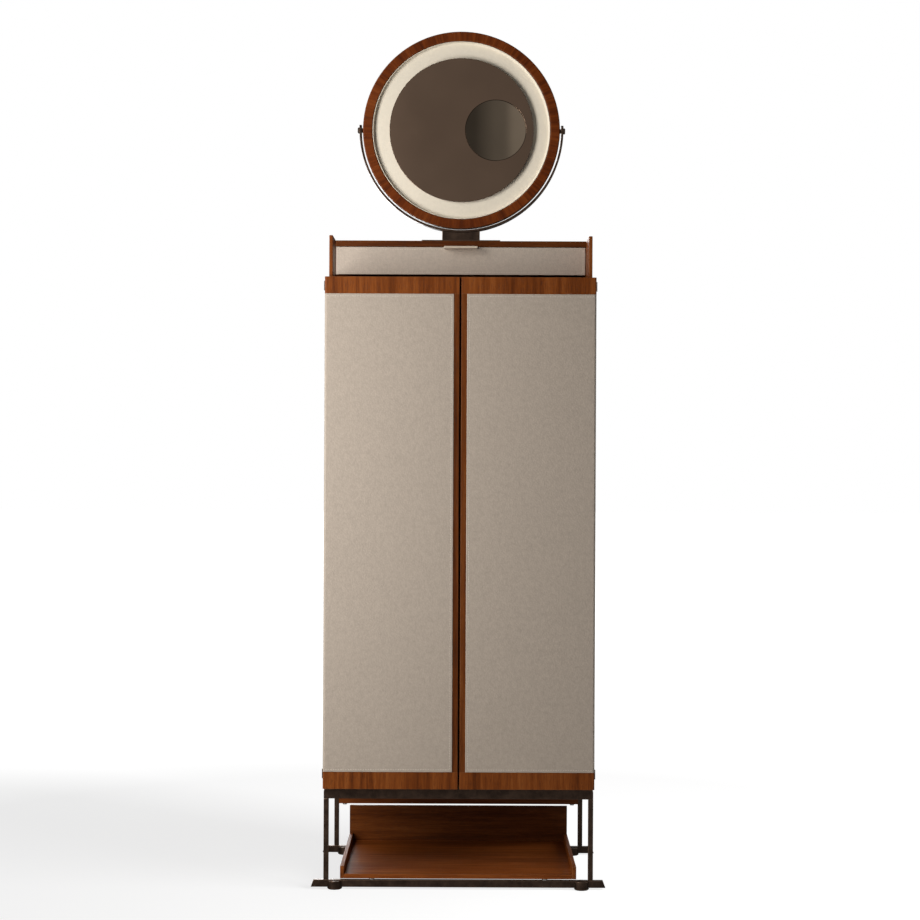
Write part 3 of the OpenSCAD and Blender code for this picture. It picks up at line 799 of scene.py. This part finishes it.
@dataclass
class Assembly:
    """Pieces that are made together on one body."""

    dressing: Dressing
    body: str = "root"
    edge: float = 0.0006

    def eased(
        self,
        node: str,
        slot: str,
        finish: str,
        radius: float | None = None,
        shortest: float = 0.0,
        segments: int = 2,
    ) -> None:
        """Makes a CAD node's piece with eased edges.

        Args:
            node: the CAD node.
            slot: the record's material slot.
            finish: the name of its finish.
            radius: how much of each edge is taken off, where it is not the assembly's own.
            shortest: edges under this length stay sharp.
            segments: steps round each edge.
        """
        bm = merged_node(node)
        ease(bm, self.edge if radius is None else radius, segments, shortest)
        publish(bm, f"{node}_eased", self.body, slot, self.dressing[finish], node)

    def leather(
        self,
        node: str,
        out: Vector,
        skip: Vector | None = None,
        corner: float = 0.0,
        finish: str = "greige_leather",
    ) -> None:
        """Makes a leather panel with rolled edges, pressed seams and their stitches.

        Args:
            node: the CAD node.
            out: the outward direction of its main face.
            skip: the direction of the edge where it wraps round.
            corner: the radius of that edge, where the seams end.
            finish: the leather.
        """
        low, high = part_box(node)
        if skip is not None:
            low, high = low.copy(), high.copy()
            target = high if skip.dot(RIGHT) > 0 else low
            target.x -= skip.x * corner
        sewing = Sewing()
        seams = frame_of_seams(low, high, out, sewing.inset, skip)
        bm = merged_node(node)
        ease(bm, LEATHER_EDGE, 3, LEATHER_SHORTEST)
        sewing.press(bm, seams)
        publish(bm, f"{node}_sewn", self.body, "leather", self.dressing[finish], node)
        thread = self.dressing["linen_thread"]
        publish(sewing.sew(seams), f"{node}_stitches", self.body, "leather", thread)

    def screws(self, name: str, places: list[Vector], out: Vector, radius: float) -> None:
        """Sets slotted screw heads nearly flush in a metal face.

        Args:
            name: the piece's name.
            places: the middles of the heads, on the face.
            out: the direction that the heads face.
            radius: the heads' radius.
        """
        height, slot_half, slot_depth = 0.0003, radius * 0.14, 0.00022
        first_turn, more_turn = 15, 37
        bm = bmesh.new()
        mesh = bpy.data.meshes.new(name)
        for i, place in enumerate(places):
            head = bmesh.new()
            bmesh.ops.create_cone(
                head,
                cap_ends=True,
                segments=20,
                radius1=radius,
                radius2=radius * 0.86,
                depth=height,
            )
            for side in (-slot_half, slot_half):
                bmesh.ops.bisect_plane(
                    head,
                    geom=head.verts[:] + head.edges[:] + head.faces[:],
                    plane_co=(side, 0, 0),
                    plane_no=RIGHT,
                    dist=1e-7,
                )
            top = [
                f
                for f in head.faces
                if f.normal.z > 0.9 and abs(f.calc_center_median().x) < slot_half
            ]
            pressed = bmesh.ops.extrude_face_region(head, geom=top)["geom"]
            bmesh.ops.delete(head, geom=top, context="FACES_ONLY")
            moved = [g for g in pressed if isinstance(g, bmesh.types.BMVert)]
            bmesh.ops.translate(head, verts=moved, vec=(0, 0, -slot_depth))
            set_in = Matrix.Translation(place + out * height / 2)
            turn = out.to_track_quat("Z", "Y").to_matrix().to_4x4()
            spin = Matrix.Rotation(math.radians(more_turn * i + first_turn), 4, "Z")
            bmesh.ops.transform(head, verts=head.verts, matrix=set_in @ turn @ spin)
            head.to_mesh(mesh)
            head.free()
            bm.from_mesh(mesh)
        bpy.data.meshes.remove(mesh)
        publish(bm, name, self.body, "steel", self.dressing["plain_steel"])


# ---- the armoire's sub-assemblies ----


@dataclass
class BaseFrame(Assembly):
    """The open metal base: legs, rails, floor bars, feet and the apron at the back."""

    edge: float = 0.0008

    def build(self) -> None:
        """Makes the base."""
        for node in (
            "front_legs",
            "rear_legs",
            "front_top_rail",
            "rear_top_rail",
            "frame_side_rails",
            "front_floor_bar",
            "rear_floor_bar",
            "floor_feet",
        ):
            self.eased(node, "bronze", "burnished_bronze")
        self.eased("frame_bolts", "steel", "plain_steel", 0.0004)
        self.eased("rear_apron", "walnut", "walnut_across")


@dataclass
class Tray(Assembly):
    """The low tray between the legs."""

    edge: float = 0.0007

    def build(self) -> None:
        """Makes the tray."""
        # Painted light: the tray floor gets a lighter copy of the walnut.
        self.eased("tray_floor", "walnut", "walnut_tray_painted_light")
        self.eased("tray_sides", "walnut", "walnut_depth")
        # Painted shade: the tray back gets a darker copy of the walnut.
        self.eased("tray_back", "walnut", "tray_back_walnut_painted_shade")
        self.eased("tray_spacers", "steel", "plain_steel", 0.0003)


@dataclass
class CabinetBox(Assembly):
    """The box with its leather sides, shelves, rod and catches."""

    def build(self) -> None:
        """Makes the box and what is in it."""
        for side, out in (("left", -RIGHT), ("right", RIGHT)):
            self.eased(f"side_panel_{side}", "walnut", "walnut_upright", shortest=0.006)
            self.leather(f"side_leather_{side}", out)
        for node in ("carcass_top", "carcass_bottom", "fixed_shelf", "adjustable_shelf"):
            self.eased(node, "walnut", "walnut_across")
        self.eased("back_panel", "walnut", "walnut_lining")
        self.eased("shelf_pins", "steel", "plain_steel", 0.0004)
        self.eased("hanging_rod", "bronze", "burnished_bronze", 0.001)
        self.eased("rod_brackets", "bronze", "burnished_bronze", 0.0006)
        self.eased("magnetic_catches", "steel", "plain_steel", 0.0006)
        self.eased("carcass_hinge_leaves", "bronze", "burnished_bronze", LEAF_EDGE)
        self.eased("hinge_pins", "bronze", "burnished_bronze", LEAF_EDGE)
        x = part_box("carcass_hinge_leaves")[1].x - HINGE_SCREW_INSET
        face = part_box("side_panel_right")[0].y
        places = hinge_screw_places(-x, face) + hinge_screw_places(x, face)
        self.screws("cabinet_hinge_screws", places, -BACK, HINGE_SCREW_RADIUS)


def hinge_screw_places(x: float, y: float) -> list[Vector]:
    """Sets out the screws of one upright's hinge leaves.

    Args:
        x: how far to the right the screws sit.
        y: the face that they sit on.

    Returns:
        The middles of the screws' heads, two for each hinge.
    """
    low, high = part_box("hinge_pins")
    heights = (low.z + HINGE_HALF_HEIGHT, high.z - HINGE_HALF_HEIGHT)
    rises = (-HINGE_SCREW_RISE, HINGE_SCREW_RISE)
    return [Vector((x, y, z + rise)) for z in heights for rise in rises]


@dataclass
class Gallery(Assembly):
    """The wings, top board, deck and back round the drawer."""

    def build(self) -> None:
        """Makes the gallery."""
        self.eased("gallery_wings", "walnut", "walnut_upright", 0.001)
        self.eased("top_board", "walnut", "walnut_top", 0.0008)
        self.eased("drawer_deck", "walnut", "walnut_across")
        self.eased("gallery_back", "walnut", "walnut_across")
        self.eased("drawer_runners", "walnut", "walnut_depth")


@dataclass
class Drawer(Assembly):
    """The drawer with its leather face and pull tab."""

    body: str = "drawer"

    def build(self) -> None:
        """Makes the drawer."""
        self.eased("drawer_front", "walnut", "walnut_across")
        self.eased("drawer_sides", "walnut", "walnut_depth")
        self.eased("drawer_back", "walnut", "walnut_across")
        self.eased("drawer_bottom", "walnut", "walnut_across")
        # Painted light: the drawer face gets a paler copy of the door leather, standing in for
        # light in its shaded recess.
        self.leather("drawer_leather", -BACK, finish="drawer_leather")
        self.eased("drawer_pull", "leather", "pull_leather", 0.0012, segments=4)


@dataclass
class Door(Assembly):
    """One door: core, rails, stile, sewn leather and hinge leaves."""

    side: str = "left"
    corner: float = 0.005

    def __post_init__(self) -> None:
        """Names the body that the door rides on."""
        self.body = f"door_{self.side}"

    def build(self) -> None:
        """Makes the door."""
        out = RIGHT if self.side == "right" else -RIGHT
        self.eased(f"door_core_{self.side}", "walnut", "walnut_lining", shortest=0.006)
        self.eased(f"door_rails_{self.side}", "walnut", "walnut_door", shortest=0.006)
        self.eased(f"door_stile_{self.side}", "walnut", "walnut_stile")
        self.leather(f"door_leather_{self.side}", -BACK, out, self.corner)
        self.eased(f"door_hinge_leaves_{self.side}", "bronze", "burnished_bronze", LEAF_EDGE)
        self.eased(f"strike_plate_{self.side}", "steel", "plain_steel", 0.0003)
        low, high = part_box(f"strike_plate_{self.side}")
        middle = (low + high) / 2
        places = [
            Vector((middle.x + dx, high.y, middle.z))
            for dx in (-STRIKE_SCREW_REACH, STRIKE_SCREW_REACH)
        ]
        edge = abs(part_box(f"door_hinge_leaves_{self.side}")[1 if out.x > 0 else 0].x)
        places += hinge_screw_places(out.x * (edge - HINGE_SCREW_INSET), high.y)
        self.screws(f"door_screws_{self.side}", places, BACK, HINGE_SCREW_RADIUS)


@dataclass
class RoundMirror(Assembly):
    """The tilting mirror: ring, backing board, glass, halo ring and magnifying mirror."""

    body: str = "mirror"
    steps: int = 144

    def build(self) -> None:
        """Makes the mirror."""
        self.eased("mirror_ring", "walnut", "walnut_ring", 0.0008, shortest=0.0004)
        self.eased("mirror_back", "walnut", "walnut_across", 0.0006)
        self.eased("mirror_glass", "smoked_mirror", "smoked_glass", 0.0004)
        self.halo()
        self.magnifier()

    def halo(self) -> None:
        """Makes the dished cream leather ring."""
        low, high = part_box("halo_ring")
        centre = (low + high) / 2
        outer, front, back = (high.x - low.x) / 2, low.y - centre.y, high.y - centre.y
        lip, fold, recess, lap, bend_steps = 0.0015, 0.004, 0.011, 0.0255, 6
        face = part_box("mirror_ring")[0].y + recess - centre.y
        glass_low, glass_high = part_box("mirror_glass")
        inner = (glass_high.x - glass_low.x) / 2 - lap
        profile = [
            (inner, back),
            (inner, face),
            *arc((outer - lip - fold, face - fold), fold, 90, 0, bend_steps),
            *arc((outer - lip / 2, front + lip / 2), lip / 2, 180, 360, bend_steps),
            (outer, back),
        ]
        bm = turned(profile, centre, self.steps)
        cream = self.dressing["cream_leather"]
        publish(bm, "halo_dish", self.body, "halo_leather", cream, "halo_ring")

    def magnifier(self) -> None:
        """Makes the concave magnifying mirror."""
        low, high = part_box("magnifier")
        centre = (low + high) / 2
        radius, front, back = (high.x - low.x) / 2, low.y - centre.y, high.y - centre.y
        curve, arris, rings = 1.0, 0.0005, 14
        rim = radius - arris
        reaches = [rim * i / rings for i in range(rings + 1)]
        sags = [curve - math.sqrt(curve**2 - reach**2) for reach in reaches]
        dish = [(reach, front + sags[-1] - sag) for reach, sag in zip(reaches, sags)]
        profile = [*dish, (radius, front + arris), (radius, back), (0.0, back)]
        bm = turned(profile, centre, self.steps)
        glass = self.dressing["magnifier_glass"]
        publish(bm, "magnifier_dish", self.body, "magnifying_mirror", glass, "magnifier")


@dataclass
class MirrorStand(Assembly):
    """What carries the mirror on the top board: stand, yoke and knobs."""

    def build(self) -> None:
        """Makes the stand."""
        self.eased("mirror_stand", "bronze", "burnished_bronze", 0.0009, shortest=0.003)
        self.eased("mirror_yoke", "bronze", "burnished_bronze", 0.0006, shortest=0.003)
        self.eased("pivot_knobs", "bronze", "burnished_bronze", 0.0003)


# ---- the studio ----


@dataclass(frozen=True)
class Lamp:
    """A soft rectangular light that points at a target.

    It lights only the floor, or everything but the floor.
    """

    name: str
    place: Vector
    target: Vector
    size: tuple[float, float]
    power: float
    colour: Colour = WHITE
    on_floor: bool = False

    def light(self, scene: bpy.types.Scene, floor: bpy.types.Object) -> bpy.types.Object:
        """Makes the light.

        Args:
            scene: the scene to light.
            floor: the floor.

        Returns:
            The light.
        """
        data = bpy.data.lights.new(self.name, "AREA")
        data.shape = "RECTANGLE"
        data.size, data.size_y = self.size
        data.energy = self.power
        data.color = self.colour
        light = bpy.data.objects.new(self.name, data)
        light.location = self.place
        light.rotation_euler = (self.target - self.place).to_track_quat("-Z", "Y").to_euler()
        light.visible_camera = False
        scene.collection.objects.link(light)
        state = "INCLUDE" if self.on_floor else "EXCLUDE"
        light.light_linking.receiver_collection = linked(f"{self.name}_receivers", floor, state)
        return light


def linked(name: str, thing: bpy.types.Object, state: str) -> bpy.types.Collection:
    """Makes a light-linking collection that includes or excludes one object.

    Args:
        name: the collection's name.
        thing: its one object.
        state: INCLUDE or EXCLUDE.

    Returns:
        The new collection.
    """
    group = bpy.data.collections.new(name)
    group.objects.link(thing)
    group.collection_objects[0].light_linking.link_state = state
    return group


KEY = Lamp(
    "key",
    Vector((-1.15, -1.15, 1.2)),
    Vector((0.05, -0.2, 1.05)),
    (0.6, 1.8),
    36.0,
    (1.0, 0.99, 0.97),
)
FLOOR_WASH = Lamp(
    "floor_wash",
    Vector((1.7, -1.1, 1.2)),
    Vector((-0.6, 0.3, 0.0)),
    (1.7, 1.0),
    60.0,
    on_floor=True,
)
SIDE_FILL = Lamp("side_fill", Vector((2.6, 0.9, 1.3)), Vector((0.3, 0.1, 0.8)), (1.2, 1.8), 34.0)
REAR_FILL = Lamp("rear_fill", Vector((-1.0, 2.8, 1.5)), Vector((0.0, 0.2, 0.9)), (1.6, 1.8), 60.0)

CAMERA_PLACE = Vector((0.0, -4.785, 0.964))

# How bright the room is in reflections, from its left end at 0 to its right end at 1
ROOM_LEVELS = (
    (0.0, 0.40),
    (0.36, 0.36),
    (0.44, 0.95),
    (0.472, 0.86),
    (0.489, 0.52),
    (0.511, 0.47),
    (0.55, 0.19),
    (1.0, 0.20),
)


@dataclass(frozen=True)
class FloorGlow:
    """How strongly the floor glows, so that it runs out into the white of the room.

    Seen by the camera, it goes from the near glow to the far one between two distances from the
    origin, and it gains a little behind the armoire, along a direction and between two distances.
    Anything else gets the faint glow.
    """

    near: float = 0.785
    far: float = 1.1
    distances: tuple[float, float] = (1.5, 3.0)
    rear_gain: float = 0.1
    rear_direction: Colour = (0.78, 1.0, 0.0)
    rear_distances: tuple[float, float] = (0.15, 0.7)
    faint: float = 0.05

    def strength(self, graph: Graph) -> Socket:
        """Works out the strength of the glow.

        Args:
            graph: the floor's material in the making.

        Returns:
            The strength.
        """
        seen = graph.node("LightPath").outputs["Is Camera Ray"]
        reach = graph.node("VectorMath", {0: graph.place()}, operation="LENGTH").outputs["Value"]
        outer = graph.spread(reach, *self.distances, self.near, self.far)
        along = {0: graph.place(), 1: self.rear_direction}
        behind = graph.node("VectorMath", along, operation="DOT_PRODUCT").outputs["Value"]
        rear = graph.spread(behind, *self.rear_distances, 0.0, self.rear_gain)
        both = graph.total((outer, 1.0), (rear, 1.0))
        return graph.node("Mix", {0: seen, 2: self.faint, 3: both}).outputs[0]


@dataclass
class Studio:
    """Camera, lights and floor."""

    camera_place: Vector
    lens: float = 80.9
    sensor: float = 36.0
    shift: float = -0.0054
    roll: float = -0.0045
    ambient: float = 0.22
    floor_half: float = 30.0
    floor_grey: float = 0.3
    glow: FloorGlow = FloorGlow()

    def build(self, wings: bpy.types.Object) -> None:
        """Sets up the studio.

        Args:
            wings: the gallery's wings, which throw no shadow of the key light on the drawer.
        """
        scene = bpy.context.scene
        scene.view_settings.view_transform = "Standard"
        self.camera(scene)
        self.surroundings(scene)
        floor = self.floor(scene)
        key = KEY.light(scene, floor)
        for lamp in (FLOOR_WASH, SIDE_FILL, REAR_FILL):
            lamp.light(scene, floor)
        key.light_linking.blocker_collection = linked("key_blockers", wings, "EXCLUDE")

    def camera(self, scene: bpy.types.Scene) -> None:
        """Makes a level camera in front of the armoire, with a slight roll.

        Args:
            scene: the scene to look at.
        """
        data = bpy.data.cameras.new("camera")
        data.lens, data.sensor_width, data.shift_y = self.lens, self.sensor, self.shift
        camera = bpy.data.objects.new("camera", data)
        camera.location = self.camera_place
        camera.rotation_euler = (math.radians(90), self.roll, 0)
        scene.collection.objects.link(camera)
        scene.camera = camera

    def surroundings(self, scene: bpy.types.Scene) -> None:
        """Makes a room that is white to the camera, banded in reflections and dim as a light.

        Args:
            scene: the scene to set in it.
        """
        world = bpy.data.worlds.new("studio")
        scene.world = world
        world.use_nodes = True
        nodes = Nodes(world.node_tree)
        place = nodes.node("TexCoord").outputs["Generated"]
        x = nodes.node("SeparateXYZ", {0: place}).outputs[0]
        stops = ((position, (level,) * 3) for position, level in ROOM_LEVELS)
        room = nodes.ramp(nodes.spread(x, -1.0, 1.0), *stops)
        rays = nodes.node("LightPath").outputs
        background = world.node_tree.nodes["Background"]
        nodes.feed(background.inputs[0], nodes.mixed(rays["Is Camera Ray"], room, WHITE))
        dimmed = nodes.spread(rays["Is Diffuse Ray"], 0.0, 1.0, 1.0, self.ambient)
        nodes.feed(background.inputs[1], dimmed)

    def floor(self, scene: bpy.types.Scene) -> bpy.types.Object:
        """Makes the white floor.

        Args:
            scene: the scene to put it in.

        Returns:
            The floor.
        """
        bm = bmesh.new()
        bmesh.ops.create_grid(bm, x_segments=1, y_segments=1, size=self.floor_half)
        mesh = bpy.data.meshes.new("floor")
        bm.to_mesh(mesh)
        bm.free()
        floor = bpy.data.objects.new("floor", mesh)
        scene.collection.objects.link(floor)
        graph = Graph("white_floor")
        material = graph.finish(
            Base_Color=(self.floor_grey,) * 3,
            Roughness=1.0,
            Specular_IOR_Level=0.0,
            Emission_Color=WHITE,
            Emission_Strength=self.glow.strength(graph),
        )
        mesh.materials.append(material)
        return floor


def main() -> None:
    logging.basicConfig(level=logging.INFO, format="%(name)s: %(message)s")
    low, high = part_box("mirror_ring")
    dressing = Dressing((low + high) / 2)
    assemblies: tuple[Assembly, ...] = (
        BaseFrame(dressing),
        Tray(dressing),
        CabinetBox(dressing),
        Gallery(dressing),
        Drawer(dressing),
        Door(dressing, side="left"),
        Door(dressing, side="right"),
        RoundMirror(dressing),
        MirrorStand(dressing),
    )
    for assembly in assemblies:
        LOG.info("building %s", type(assembly).__name__)
        assembly.build()
    Studio(CAMERA_PLACE).build(bpy.data.objects["gallery_wings_eased"])


if __name__ == "__main__":
    main()
